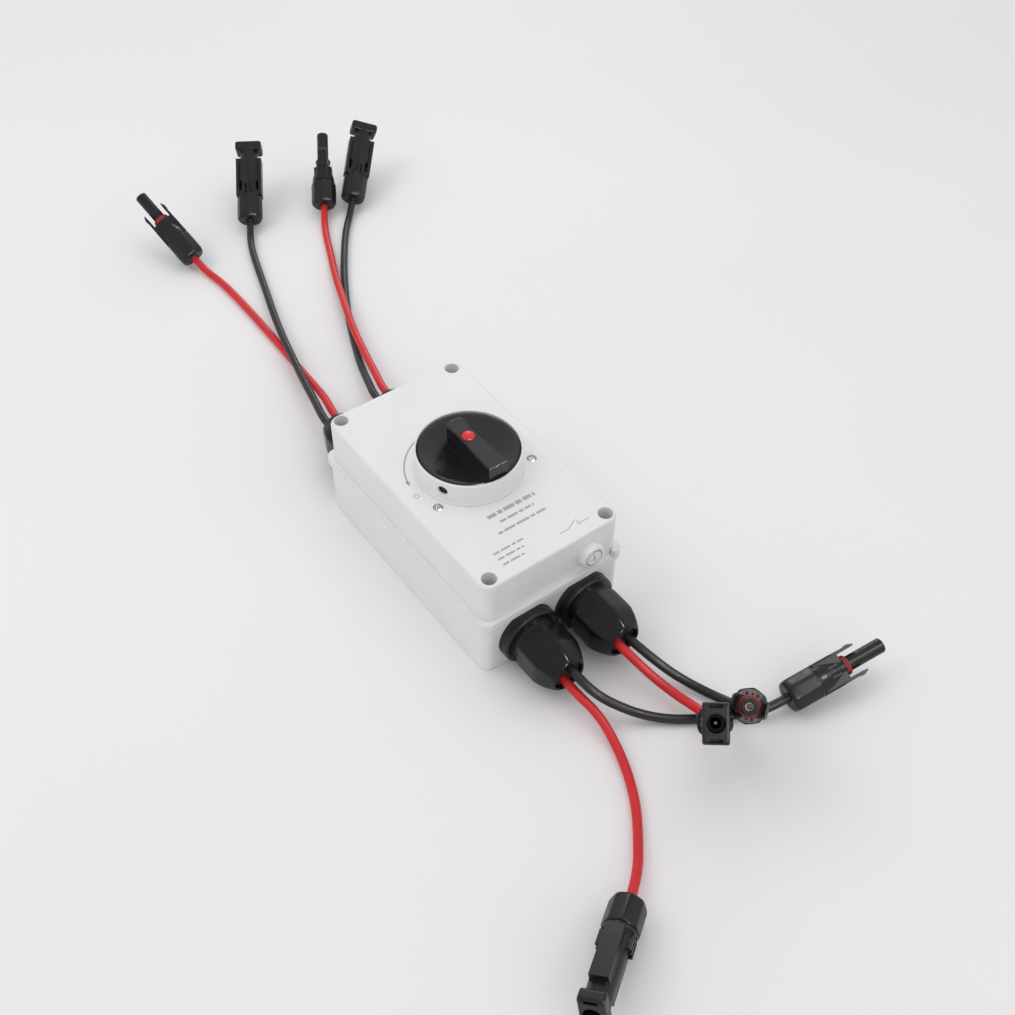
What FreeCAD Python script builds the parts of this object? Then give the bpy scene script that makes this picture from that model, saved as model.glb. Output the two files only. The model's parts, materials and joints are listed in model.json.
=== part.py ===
import FreeCAD, Part
import Sketcher
import math
import os
import re

os.makedirs("parts", exist_ok=True)
doc = FreeCAD.newDocument("RotaryIsolator")

# Driving dimensions, millimetres. Origin: middle of the enclosure on the floor;
# x across the width, y along the length (cable entries at both ends), z up.
DIMENSIONS = {
    "base_width": 95, "base_length": 162, "base_top": 38, "base_corner": 5.5,
    "rim_width": 98, "rim_length": 165, "rim_top": 42,
    "base_wall": 4, "floor_thick": 3,
    "lid_width": 92.4, "lid_length": 159.4, "lid_top": 71, "lid_wall": 3.2, "lid_corner": 7,
    "lid_screw_across": 39.5, "lid_screw_along": 73.8,
    "fixing_across": 30, "fixing_along": 66, "fixing_radius": 2.25,
    "collar_radius": 31, "collar_bore": 29.7, "collar_top": 85.5,
    "knob_radius": 29.2, "knob_foot": 73.2, "knob_rim": 85, "rim_band": 2.5, "dish_depth": 5.5,
    "grip_top": 94.5, "lock_height": 79.5, "lock_radius": 3, "lock_angle": 207,
    "shaft_square": 6, "journal_radius": 5, "running_gap": 0.05, "free_gap": 0.3,
    "guide_across": 32.3, "guide_along": -16.3,
    "deck_foot": 16, "deck_height": 9, "deck_width": 56, "deck_length": 68, "rotor_space": 17,
    "spindle_radius": 6.5, "blade_reach": 14.9, "tie_across": 24.8, "tie_along": 15,
    "spring_radius": 9.5, "spring_foot": 58.1, "spring_height": 2.1, "spring_pitch": 1.25,
    "spring_wire": 1,
    "rail_width": 35, "rail_foot": 5, "rail_height": 7.5, "rail_length": 80,
    "entry_across": 19.5, "entry_height": 19.2, "entry_radius": 12.75,
    "flange_radius": 18.4, "gland_thread": 12.3, "gland_bore": 9.5, "insert_radius": 9.4,
    "insert_face": 36, "nut_flats": 29.5, "nut_end": 39,
    "cable_width": 5.3, "contact_wide": 2.65,
    "plug_nut_radius": 9.75, "plug_nut_length": 18, "plug_thread": 7.5,
}
POLES = (1, 2, 3, 4)
POLE_ACROSS = (-19.5, -6.5, 6.5, 19.5)
ENDS = {"front": -1, "rear": 1}
SIDES = {"left": -1, "right": 1}
CORNERS = ((-1, -1), (1, -1), (1, 1), (-1, 1))

sheet = doc.addObject("Spreadsheet::Sheet", "dims")
for row, (alias, size) in enumerate(DIMENSIONS.items(), 1):
    sheet.set(f"A{row}", alias)
    sheet.set(f"B{row}", str(size))
    sheet.setAlias(f"B{row}", alias)
doc.recompute()


# ---- tools ----------------------------------------------------------------

def linked(expression):
    """Point every alias in an expression at the sheet."""
    def point(word):
        return "dims." + word.group() if word.group() in DIMENSIONS else word.group()
    return re.sub(r"[a-z][a-z_]+", point, str(expression))


def number(expression):
    return float(sheet.evalExpression(linked(expression)))


def bind(item, **sizes):
    for prop, expression in sizes.items():
        item.setExpression(prop, linked(expression))


def settle(item, at):
    """Bind the place of an item to the sheet."""
    for axis, expression in zip("xyz", at):
        item.setExpression(f"Placement.Base.{axis}", linked(expression))


def outline(body, plane, corners):
    """A closed outline on one of the body's own planes, each corner bound to the sheet."""
    sketch = body.newObject("Sketcher::SketchObject", f"{body.Name}_outline")
    face = [feature for feature in body.Origin.OriginFeatures if feature.Role == plane][0]
    sketch.AttachmentSupport = (face, [""])
    sketch.MapMode = "FlatFace"
    points = [FreeCAD.Vector(number(u), number(v), 0) for u, v in corners]
    for start, end in zip(points, points[1:] + points[:1]):
        sketch.addGeometry(Part.LineSegment(start, end), False)
    for side in range(len(points)):
        following = (side + 1) % len(points)
        sketch.addConstraint(Sketcher.Constraint("Coincident", side, 2, following, 1))
    for side, corner in enumerate(corners):
        for kind, axis, place in (("DistanceX", -2, corner[0]), ("DistanceY", -1, corner[1])):
            if abs(number(place)) < 1e-9:
                sketch.addConstraint(Sketcher.Constraint("PointOnObject", side, 1, axis))
            else:
                size = Sketcher.Constraint(kind, -1, 1, side, 1, number(place))
                index = sketch.addConstraint(size)
                sketch.setExpression(f"Constraints[{index}]", linked(place))
    return sketch


def turned(name, profile):
    """A piece turned about its own Z from (radius, height) corners."""
    body = doc.addObject("PartDesign::Body", name)
    turn = body.newObject("PartDesign::Revolution", f"{name}_turn")
    turn.Profile = outline(body, "XZ_Plane", profile)
    turn.ReferenceAxis = (turn.Profile[0], ["V_Axis"])
    turn.Angle = 360
    body.Tip = turn
    return body


def padded(name, corners, height, at=(0, 0, 0), plane="XY_Plane"):
    """A piece padded from an outline."""
    body = doc.addObject("PartDesign::Body", name)
    pad = body.newObject("PartDesign::Pad", f"{name}_pad")
    pad.Profile = outline(body, plane, corners)
    bind(pad, Length=height)
    body.Tip = pad
    settle(body, at)
    return body


def upright(edge):
    return edge.BoundBox.XLength < 1e-3 and edge.BoundBox.YLength < 1e-3


def along_top(edge):
    return edge.BoundBox.ZLength < 1e-3 and edge.BoundBox.ZMin > 0.5


def rounded(body, radius, wanted):
    """Round the wanted edges of a body."""
    doc.recompute()
    before = body.Tip
    names = [f"Edge{i}" for i, edge in enumerate(before.Shape.Edges, 1) if wanted(edge)]
    fillet = body.newObject("PartDesign::Fillet", f"{body.Name}_round")
    fillet.Base = (before, names)
    bind(fillet, Radius=radius)
    body.Tip = fillet
    return body


def slab(name, width, length, height, at, corner=None):
    """A rectangular block centred on its place, with round upright edges if asked."""
    half_width = f"({width}) / 2"
    half_length = f"({length}) / 2"
    corners = [(f"-{half_width}", f"-{half_length}"), (half_width, f"-{half_length}"),
               (half_width, half_length), (f"-{half_width}", half_length)]
    body = padded(name, corners, height, at)
    if corner is not None:
        rounded(body, corner, upright)
    return body


TURNS = {
    "x": FreeCAD.Rotation(FreeCAD.Vector(0, 1, 0), 90),
    "y": FreeCAD.Rotation(FreeCAD.Vector(1, 0, 0), -90),
    "z": FreeCAD.Rotation(),
}


def rod(name, radius, height, at, along="z"):
    item = doc.addObject("Part::Cylinder", name)
    bind(item, Radius=radius, Height=height)
    item.Placement = FreeCAD.Placement(FreeCAD.Vector(), TURNS[along])
    settle(item, at)
    return item


def block(name, width, length, height, at):
    """A box centred in x and y on its place."""
    item = doc.addObject("Part::Box", name)
    bind(item, Length=width, Width=length, Height=height)
    settle(item, (f"{at[0]} - ({width}) / 2", f"{at[1]} - ({length}) / 2", at[2]))
    return item


def fuse(name, *items):
    joined = doc.addObject("Part::MultiFuse", name)
    joined.Shapes = list(items)
    return joined


def cut(name, base, *tools):
    left = doc.addObject("Part::Cut", name)
    left.Base = base
    left.Tool = tools[0] if len(tools) == 1 else fuse(f"{name}_tools", *tools)
    return left


def common(name, first, second):
    both = doc.addObject("Part::Common", name)
    both.Base = first
    both.Tool = second
    return both


def group(name, *items):
    together = doc.addObject("Part::Compound", name)
    together.Links = list(items)
    return together


def prism(name, sides, flats, height, at, spin=0):
    """A regular prism given by the distance across its flats."""
    item = doc.addObject("Part::Prism", name)
    item.Polygon = sides
    bind(item, Circumradius=f"({flats}) / 2 / cos({180 / sides} deg)", Height=height)
    item.Placement = FreeCAD.Placement(FreeCAD.Vector(), FreeCAD.Rotation(float(spin), 0, 0))
    settle(item, at)
    return item


nodes = []


def node(label, item):
    item.Label = label
    nodes.append(item)
    return item


# The share of the shorter of two runs that the arc between them takes.
BEND_SHARE = 0.45


def tube(name, route, diameter):
    """A round cord: straight runs joined by tangent arcs."""
    points = [FreeCAD.Vector(*point) for point in route]
    ways = [(end - start).normalize() for start, end in zip(points, points[1:])]
    runs = [start.distanceToPoint(end) for start, end in zip(points, points[1:])]
    edges = []
    radii = []
    last = points[0]
    for turn in range(1, len(points) - 1):
        before, after = ways[turn - 1], ways[turn]
        half_turn = before.getAngle(after) / 2
        reach = BEND_SHARE * min(runs[turn - 1], runs[turn])
        radius = reach / math.tan(half_turn)
        start = points[turn] - before * reach
        end = points[turn] + after * reach
        inward = (after - before).normalize()
        middle = points[turn] + inward * (radius / math.cos(half_turn) - radius)
        edges.append(Part.LineSegment(last, start).toShape())
        edges.append(Part.Arc(start, middle, end).toShape())
        radii.append(radius)
        last = end
    edges.append(Part.LineSegment(last, points[-1]).toShape())
    path = Part.Wire(edges)
    ring = Part.Wire([Part.Circle(points[0], ways[0], diameter / 2).toShape()])
    item = doc.addObject("Part::Feature", name)
    item.Shape = path.makePipeShell([ring], True, False)
    section = math.pi * diameter ** 2 / 4
    print(f"{name}: length {path.Length:.1f}, tightest radius {min(radii):.1f}, "
          f"volume ratio {item.Shape.Volume / (section * path.Length):.4f}")
    return item


# ---- enclosure ------------------------------------------------------------

def lid_screw_places(name, radius, height, foot):
    return [rod(f"{name}_{i}", radius, height,
                (f"{x} * lid_screw_across", f"{y} * lid_screw_along", foot))
            for i, (x, y) in enumerate(CORNERS)]


def ring_slot(name, across, along, corner, width, height, foot):
    """A rounded rectangular ring, given by its inner half sizes."""
    outer = slab(f"{name}_outer", f"2 * ({across} + {width})", f"2 * ({along} + {width})", height,
                 (0, 0, foot), f"{corner} + {width}")
    inner = slab(f"{name}_inner", f"2 * {across}", f"2 * {along}", height, (0, 0, foot), corner)
    return cut(name, outer, inner)


def enclosure_base():
    shell = slab("base_shell", "base_width", "base_length", "base_top", (0, 0, 0), "base_corner")
    rim = slab("base_rim", "rim_width", "rim_length", "rim_top - base_top + 0.5",
               (0, 0, "base_top - 0.5"), "base_corner + 0.5")
    hollow = slab("base_hollow", "base_width - 2 * base_wall", "base_length - 2 * base_wall",
                  "rim_top", (0, 0, "floor_thick"), 5)
    walls = cut("base_walls", fuse("base_outside", shell, rim), hollow)
    bosses = lid_screw_places("base_boss", 5, "rim_top - floor_thick + 0.5", "floor_thick - 0.5")
    pads = [slab(f"rail_pad_{x}", 12, 30, 2.5, (x * 32, 0, "floor_thick - 0.5")) for x in (-1, 1)]
    lug = slab("base_lug", 5, 3.7, 5, ("42.6", "-81.55", "rim_top - 1"), 1.8)
    holes = lid_screw_places("base_screw_hole", 2.1, 40, 12)
    for end, y in ENDS.items():
        for side, x in SIDES.items():
            holes.append(rod(f"entry_hole_{end}_{side}", "entry_radius", 10,
                             (f"{x} * entry_across", f"{y} * 79 - 5", "entry_height"), "y"))
    for i, (x, y) in enumerate(CORNERS):
        holes.append(rod(f"fixing_hole_{i}", "fixing_radius", 10,
                         (f"{x} * fixing_across", f"{y} * fixing_along", -2)))
    holes += [rod(f"rail_hole_{x}", 1.6, 6, (x * 32, 0, 1.3)) for x in (-1, 1)]
    holes.append(ring_slot("gasket_slot", 44, 77.5, 5.1, 1.8, 3, "rim_top - 1.8"))
    return cut("base", fuse("base_solid", walls, *bosses, *pads, lug), *holes)


def enclosure_lid():
    shell = slab("lid_shell", "lid_width", "lid_length", "lid_top - rim_top", (0, 0, "rim_top"),
                 "lid_corner")
    rounded(shell, 2.2, along_top)
    hollow = slab("lid_hollow", "lid_width - 2 * lid_wall", "lid_length - 2 * lid_wall",
                  "lid_top - rim_top - 2", (0, 0, "rim_top - 1"), 5)
    bosses = lid_screw_places("lid_boss", 5.2, "lid_top - rim_top - 2.5", "rim_top")
    body = fuse("lid_solid", cut("lid_walls", shell, hollow), *bosses)
    holes = lid_screw_places("lid_screw_hole", 2.25, 40, "rim_top - 5")
    holes += lid_screw_places("lid_screw_recess", 4.3, 30, 56)
    holes.append(rod("lid_spindle_hole", 9.3, 10, (0, 0, "lid_top - 5")))
    for x in (-1, 1):
        place = (f"{x} * guide_across", "guide_along")
        holes.append(rod(f"guide_hole_{x}", 1.6, 10, (*place, "lid_top - 5")))
        holes.append(rod(f"guide_recess_{x}", 2.8, 5, (*place, "lid_top - 1.5")))
        holes.append(rod(f"peg_hole_{x}", 1.55, 10, (x * 22, 0, "lid_top - 5")))
    holes.append(rod("vent_hole", 4.2, 10, (24, "-lid_length / 2 - 3", 54), "y"))
    return cut("lid", body, *holes)


def lid_screw(name, x, y):
    stem = turned(f"{name}_stem", [(0, 30), (1.2, 30), (2, 31), (2, 56), (3.7, 56), (3.7, 58),
                                   (2.9, 59.2), (0, 59.2)])
    slots = [block(f"{name}_slot_{i}", size[0], size[1], 2, (0, 0, 57.6))
             for i, size in enumerate(((4.4, 0.9), (0.9, 4.4)))]
    screw = cut(name, stem, *slots)
    settle(screw, (f"{x} * lid_screw_across", f"{y} * lid_screw_along", 0))
    return screw


def vent_plug():
    """A round breather plug: stem through the wall, cap outside with a ring gap."""
    cap = turned("vent_cap", [(0, -6), (4.1, -6), (4.1, 0), (8, 0), (8, 3.6), (7, 4.8), (5.6, 5.2),
                              (5.6, 3.4), (4.8, 3.4), (4.8, 5.3), (0, 5.5)])
    slot = block("vent_slot", 1, 5, 2, (0, 0, 4.6))
    plug = cut("vent", cap, slot)
    plug.Placement = FreeCAD.Placement(FreeCAD.Vector(), FreeCAD.Rotation(FreeCAD.Vector(1, 0, 0), 90))
    settle(plug, (24, "-lid_length / 2", 54))
    return plug


# ---- collar, knob and shaft -----------------------------------------------

def lock_hole(name, angle):
    """A radial hole for a padlock shackle."""
    hole = rod(name, "lock_radius", 14, (0, 0, "lock_height"), "x")
    turn = FreeCAD.Rotation(number(angle), 0, 0)
    hole.Placement = FreeCAD.Placement(FreeCAD.Vector(), turn.multiply(TURNS["x"]))
    settle(hole, (f"20 * cos({angle} * 1 deg)", f"20 * sin({angle} * 1 deg)", "lock_height"))
    return hole


def knob_collar():
    ring = turned("collar_ring", [
        (12, "lid_top"), ("collar_radius + 0.8", "lid_top"), ("collar_radius", "lid_top + 1.6"),
        ("collar_radius", "collar_top - 0.8"), ("collar_radius - 0.5", "collar_top"),
        ("collar_bore", "collar_top"), ("collar_bore", "lid_top + 1.5"), (12, "lid_top + 1.5")])
    pegs = [rod(f"collar_peg_{x}", 1.5, 3, (x * 22, 0, "lid_top - 2.5")) for x in (-1, 1)]
    return cut("collar", fuse("collar_solid", ring, *pegs),
               lock_hole("collar_lock_hole", "lock_angle"))


def guide_screw(name, x):
    stem = turned(f"{name}_stem", [(0, -7), (1.4, -7), (1.4, 0), (2.5, 0), (2.5, 1.1), (1.7, 1.8),
                                   (0, 1.8)])
    screw = cut(name, stem, block(f"{name}_slot_a", 3.2, 0.7, 1, (0, 0, 1.1)),
                block(f"{name}_slot_b", 0.7, 3.2, 1, (0, 0, 1.1)))
    settle(screw, (f"{x} * guide_across", "guide_along", "lid_top - 1.5"))
    return screw


def spindle_guide():
    flange = slab("guide_flange", 74, 38, 3, (0, -3, "lid_top - 6"), 3)
    sleeve = rod("guide_sleeve", 9, 8.9, (0, 0, "lid_top - 7"))
    bore = rod("guide_bore", "journal_radius + running_gap", 20, (0, 0, "lid_top - 10"))
    holes = [rod(f"guide_thread_{x}", 1.45, 10, (f"{x} * guide_across", "guide_along", "lid_top - 9"))
             for x in (-1, 1)]
    return cut("guide", fuse("guide_solid", flange, sleeve), bore, *holes)


def grip_outline(inset):
    """Half outline of the waisted grip, mirrored; the far end narrow and round."""
    half = [(6.3, -28.4), (5.9, -16), (4.8, 3), (5.6, 12), (5.6, 16.2)]
    right = [(x - inset, y + inset if y < 0 else y - inset * (y > 16)) for x, y in half]
    return right + [(-x, y) for x, y in reversed(right)]


def grip_bar(name, inset, foot, height):
    bar = padded(name, grip_outline(inset), height, (0, 0, foot))
    rounded(bar, 3.8 - inset, lambda edge: upright(edge) and edge.BoundBox.YMin > 14)
    rounded(bar, 14, lambda edge: upright(edge) and 2 < edge.BoundBox.YMin < 4)
    return bar


def knob():
    disc = turned("knob_disc", [
        (0, "knob_foot"), ("knob_radius - 0.5", "knob_foot"), ("knob_radius", "knob_foot + 0.5"),
        ("knob_radius", "knob_rim - 0.8"), ("knob_radius - 0.8", "knob_rim"), (0, "knob_rim")])
    dish = doc.addObject("Part::Sphere", "knob_dish")
    rim = "(knob_radius - rim_band)"
    bind(dish, Radius=f"({rim} * {rim} + dish_depth * dish_depth) / (2 * dish_depth)")
    settle(dish, (0, 0, f"knob_rim - dish_depth + ({rim} * {rim} + dish_depth * dish_depth)"
                        " / (2 * dish_depth)"))
    hollow = rod("knob_hollow", "knob_radius - rim_band", 4, (0, 0, "knob_foot - 0.2"))
    hub = rod("knob_hub", 8, 5, (0, 0, "knob_foot"))
    bar = grip_bar("knob_bar", 0, 78, "grip_top - 78")
    rounded(bar, 0.7, along_top)
    solid = fuse("knob_solid", cut("knob_dished", disc, dish, hollow), hub, bar)
    socket = block("knob_socket", "shaft_square + 0.1", "shaft_square + 0.1", 20,
                   (0, 0, "grip_top - 28.2"))
    return cut("knob_body", solid, socket,
               rod("knob_screw_hole", 1.6, 20, (0, 0, 80)),
               rod("knob_screw_recess", 3.2, 5, (0, 0, 88.5)),
               rod("knob_marker_recess", 3.85, 5, (0, 0, 92.1)),
               grip_bar("knob_pad_recess", 0.8, "grip_top - 0.8", 3),
               lock_hole("knob_lock_hole", "(lock_angle - 90)"))


def grip_pad():
    pad = grip_bar("pad_solid", 0.85, "grip_top - 0.8", 0.8)
    return cut("pad", pad, rod("pad_marker_hole", 3.85, 3, (0, 0, "grip_top - 2")))


def knob_marker():
    return turned("marker", [(0, 92.1), (3.8, 92.1), (3.8, 94.6), (3.3, 95.1), (2.1, 95.45),
                             (0, 95.6)])


def knob_screw():
    stem = turned("knob_screw_stem", [(0, 79.2), (1.5, 79.2), (1.5, 88.5), (3, 88.5), (3, 90.4),
                                      (2.4, 91), (0, 91)])
    return cut("knob_screw_cut", stem, prism("knob_screw_hex", 6, 2.5, 3, (0, 0, 89.2)))


def drive_shaft():
    square = block("shaft_bar", "shaft_square", "shaft_square", 36, (0, 0, 50))
    journal = turned("shaft_journal", [
        (0, 63.5), ("journal_radius", 63.5), ("journal_radius", 68.5), (4.4, 68.5), (4.4, 70),
        ("journal_radius", 70), ("journal_radius", 73), (0, 73)])
    return cut("shaft", fuse("shaft_solid", square, journal), rod("shaft_thread", 1.55, 10, (0, 0, 79)))


def shaft_seal():
    return turned("seal", [(4.4, 68.55), (5.02, 68.55), (5.02, 69.95), (4.4, 69.95)])


# ---- switch ---------------------------------------------------------------

def drive_cam():
    """A round cam with two lobes on the spindle."""
    hub = rod("cam_hub", 11, 4, (0, 0, 53.5))
    lobes = slab("cam_lobes", 29, 8, 4, (0, 0, 53.5), 3.5)
    return cut("cam", fuse("cam_solid", hub, lobes), rod("cam_bore", "spindle_radius", 10, (0, 0, 50)))


def latch_spring():
    """A flat coil of wire above the cam."""
    radius = number("spring_radius")
    foot = number("spring_foot")
    path = Part.makeHelix(number("spring_pitch"), number("spring_height"), radius)
    path.translate(FreeCAD.Vector(0, 0, foot))
    start = Part.Circle(FreeCAD.Vector(radius, 0, foot), FreeCAD.Vector(0, 1, 0),
                        number("spring_wire") / 2)
    spring = doc.addObject("Part::Feature", "spring")
    spring.Shape = path.makePipeShell([Part.Wire([start.toShape()])], True, True)
    return spring


def tie_holes(name, radius, foot, height):
    return [rod(f"{name}_tie_{i}", radius, height, (f"{x} * tie_across", f"{y} * tie_along", foot))
            for i, (x, y) in enumerate(CORNERS)]


def mechanism_housing():
    box = slab("mechanism_box", "deck_width", 56, 9, (0, 0, 52), 3)
    return cut("mechanism", box, rod("mechanism_space", 18, 20, (0, 0, 53.2)),
               rod("mechanism_bore", "spindle_radius + 0.5", 10, (0, 0, 50)),
               *tie_holes("mechanism", 2.1, 50, 15))


def mechanism_cover():
    lid = slab("cover_plate", "deck_width", 56, 2, (0, 0, 61), 3)
    return cut("cover", lid, rod("cover_bore", 5.5, 10, (0, 0, 58)), *tie_holes("cover", 2.1, 58, 9))


def deck_foot(pole):
    return f"deck_foot + {pole - 1} * deck_height"


def pole_deck(pole, across):
    name = f"deck_{pole}"
    foot = deck_foot(pole)
    middle = f"{foot} + deck_height / 2"
    body = slab(f"{name}_block", "deck_width", "deck_length", "deck_height", (0, 0, foot), 2)
    tools = [rod(f"{name}_space", "rotor_space", 20, (0, 0, f"{foot} + 1")),
             rod(f"{name}_bore", "spindle_radius + 0.5", 20, (0, 0, f"{foot} - 2"))]
    tools += tie_holes(name, 2.1, f"{foot} - 2", 15)
    side = math.copysign(1, across)
    for end, y in ENDS.items():
        tools.append(block(f"{name}_{end}_slot", abs(across) + 6, 11.5, 3,
                           (across / 2, y * 20.75, f"{middle} - 1.5")))
        tools.append(rod(f"{name}_{end}_entry", 2.9, 12, (across, y * 30 - 6, middle), "y"))
        screw = across + 6 * side
        tools.append(rod(f"{name}_{end}_thread", 1.35, 9, (screw, y * 28 - 4.5, middle), "y"))
        tools.append(rod(f"{name}_{end}_recess", 2.6, 4, (screw, y * 33.5 - 2, middle), "y"))
    return cut(name, body, *tools)


def fixed_contact(pole, across, end, y):
    """A bent strip from the lead's entry to the edge of the rotor space."""
    name = f"contact_{pole}_{end}"
    level = f"{deck_foot(pole)} + deck_height / 2 - 0.6"
    return fuse(name,
                block(f"{name}_bar", abs(across) + 3, 3, 1.2, (across / 2, y * 21.5, level)),
                block(f"{name}_tip", 5, 5.5, 1.2, (0, y * 18.1, level)),
                block(f"{name}_tail", 3, 5.5, 1.2, (across, y * 23.5, level)))


def terminal_screw(pole, across, end, y):
    name = f"terminal_{pole}_{end}"
    stem = turned(f"{name}_stem", [(0, -8), (1.25, -8), (1.25, 0), (2.4, 0), (2.4, 1.8), (0, 1.8)])
    screw = cut(name, stem, block(f"{name}_slot", 0.7, 6, 1, (0, 0, 1.1)))
    outward = FreeCAD.Rotation(FreeCAD.Vector(1, 0, 0), -90 * y)
    screw.Placement = FreeCAD.Placement(FreeCAD.Vector(), outward)
    middle = f"{deck_foot(pole)} + deck_height / 2"
    settle(screw, (across + 6 * math.copysign(1, across), y * 31.7, middle))
    return screw


def contact_blade(pole):
    return block(f"blade_{pole}", 5, "2 * blade_reach", 1.2,
                 (0, 0, f"{deck_foot(pole)} + deck_height / 2 - 0.6"))


def contact_spindle():
    post = rod("spindle_post", "spindle_radius", 41.2, (0, 0, "deck_foot + free_gap"))
    socket = block("spindle_socket", "shaft_square + 2 * free_gap", "shaft_square + 2 * free_gap", 20,
                   (0, 0, 49.6))
    slots = [block(f"spindle_slot_{pole}", 5, 20, 1.2,
                   (0, 0, f"{deck_foot(pole)} + deck_height / 2 - 0.6")) for pole in POLES]
    return cut("spindle", post, socket, *slots)


def tie_screw(i, x, y):
    name = f"tie_screw_{i}"
    stem = turned(f"{name}_stem", [(0, 13), (2, 13), (2, 63), (3.5, 63), (3.5, 64.6), (0, 64.6)])
    screw = cut(name, stem, block(f"{name}_slot", 0.8, 8, 1, (0, 0, 64)))
    settle(screw, (f"{x} * tie_across", f"{y} * tie_along", 0))
    return screw


def rail_clip():
    """A plate under the decks whose two hooks grip the rail's edges."""
    flat = slab("clip_plate", 60, 70, "deck_foot - 12.8", (0, 0, 12.8), 2)
    hooks = []
    for y in (-1, 1):
        hooks.append(block(f"clip_leg_{y}", 30, 2.4, 3, (0, y * 19.1, 10.2)))
        hooks.append(block(f"clip_toe_{y}", 30, 4, 0.9, (0, y * 17.4, 10.2)))
    return cut("clip", fuse("clip_solid", flat, *hooks), *tie_holes("clip", 2.05, 11, 6))


def din_rail():
    """A top-hat rail across the base."""
    top = "rail_foot + rail_height"
    half = [("rail_width / 2 - 4", "rail_foot"), ("rail_width / 2 - 4", f"{top} - 1"),
            ("rail_width / 2", f"{top} - 1"), ("rail_width / 2", top),
            ("rail_width / 2 - 5", top), ("rail_width / 2 - 5", "rail_foot + 1")]
    corners = half + [(f"-({y})", z) for y, z in reversed(half)]
    rail = padded("rail", corners, "rail_length", ("-rail_length / 2", 0, 0), "YZ_Plane")
    return cut("rail_cut", rail, *[rod(f"rail_slot_{x}", 2, 5, (x * 32, 0, 3)) for x in (-1, 1)])


def rail_screw(x):
    name = f"rail_screw_{x}"
    stem = turned(f"{name}_stem", [(0, 1.5), (1.5, 1.5), (1.5, 6), (3.2, 6), (3.2, 7), (2.2, 8), (0, 8)])
    screw = cut(name, stem, block(f"{name}_slot", 0.8, 7, 1, (0, 0, 7.4)))
    settle(screw, (x * 32, 0, 0))
    return screw


# ---- cable entries --------------------------------------------------------

# Where the two cables pass each insert: across and up from the entry's middle.
HOLES = {
    ("rear", "left"): {"red": (3.9, 0), "black": (-3.9, 0)},
    ("rear", "right"): {"red": (3.9, 0), "black": (-3.9, 0)},
    ("front", "left"): {"red": (-2, -3.4), "black": (2, 3.4)},
    ("front", "right"): {"red": (-4, 0.8), "black": (4, -0.8)},
}
ENTRIES = [(end, side) for end in ENDS for side in SIDES]


def at_entry(item, end, side):
    """Turn a piece made along +Z so that it points out of its end wall."""
    outward = FreeCAD.Rotation(FreeCAD.Vector(1, 0, 0), -90 * ENDS[end])
    item.Placement = FreeCAD.Placement(FreeCAD.Vector(), outward)
    settle(item, (f"{SIDES[side]} * entry_across", f"{ENDS[end]} * base_length / 2", "entry_height"))
    return item


def at_entries(name, make):
    return [at_entry(make(f"{name}_{end}_{side}"), end, side) for end, side in ENTRIES]


def gland_washer(name):
    return turned(name, [("gland_thread + 0.1", 0), ("flange_radius", 0), ("flange_radius", 2.2),
                         ("flange_radius - 0.3", 2.5), ("gland_thread + 0.1", 2.5)])


def gland_body(name):
    return turned(name, [
        ("gland_bore", -14), ("gland_thread - 0.6", -14), ("gland_thread", -13), ("gland_thread", 2.5),
        ("flange_radius", 2.5), ("flange_radius", 6), ("flange_radius - 1", 7), (14.5, 7), (14.5, 10.8),
        (13, 10.8), (13, 26), ("gland_bore", 26)])


def gland_locknut(name):
    ring = turned(f"{name}_ring", [("gland_thread + 0.1", -9), (13.8, -9), (14.6, -8.2), (14.6, -4),
                                   ("gland_thread + 0.1", -4)])
    notches = []
    for i in range(3):
        turn = FreeCAD.Rotation(60 * i, 0, 0)
        notch = doc.addObject("Part::Box", f"{name}_notch_{i}")
        bind(notch, Length=40, Width=2.4, Height=2)
        notch.Placement = FreeCAD.Placement(turn.multVec(FreeCAD.Vector(-20, -1.2, -9.4)), turn)
        notches.append(notch)
    return cut(name, ring, *notches)


def gland_nut(name):
    """A six-sided cap nut with a domed nose."""
    turned_nut = turned(f"{name}_turned", [
        (13.1, 11), (16, 11), (16.6, 11.8), (16.6, 28), (15.2, 31), (13.9, 34), (12.4, 36.6),
        (10.8, "nut_end - 0.6"), (10.2, "nut_end"), (9.3, "nut_end"), (9.3, "insert_face + 0.1"),
        (9.6, "insert_face + 0.1"), (9.6, 27), (13.1, 26.1)])
    sides = prism(f"{name}_sides", 6, "nut_flats", 40, (0, 0, 5), 30)
    return common(name, turned_nut, sides)


def gland_insert(end, side):
    """A rubber insert with a hole for each cable; z is up on both ends."""
    name = f"insert_{end}_{side}"
    plug = rod(f"{name}_plug", "insert_radius", 18, (0, 0, 18))
    holes = [rod(f"{name}_{colour}", "cable_width / 2 + 0.1", 30, (x, -ENDS[end] * z, 10))
             for colour, (x, z) in HOLES[end, side].items()]
    return at_entry(cut(name, plug, *holes), end, side)


def inner_lead(end, side, colour, pole):
    """One core from its hole in the insert to its deck."""
    x, z = HOLES[end, side][colour]
    way = ENDS[end]
    start = (SIDES[side] * number("entry_across") + x, number("entry_height") + z)
    across = POLE_ACROSS[pole - 1]
    height = number(f"{deck_foot(pole)} + deck_height / 2")
    rise = height - start[1]
    step = across - start[0]
    route = [(start[0], way * 117, start[1]), (start[0], way * 74, start[1]),
             (start[0] + 0.25 * step, way * 63, start[1] + 0.25 * rise),
             (start[0] + 0.8 * step, way * 49, start[1] + 0.8 * rise),
             (across, way * 38, height), (across, way * 27.5, height)]
    return tube(f"lead_{end}_{pole}", route, number("cable_width"))


LEADS = {("left", "outer"): 1, ("left", "inner"): 2, ("right", "inner"): 3, ("right", "outer"): 4}


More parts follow.
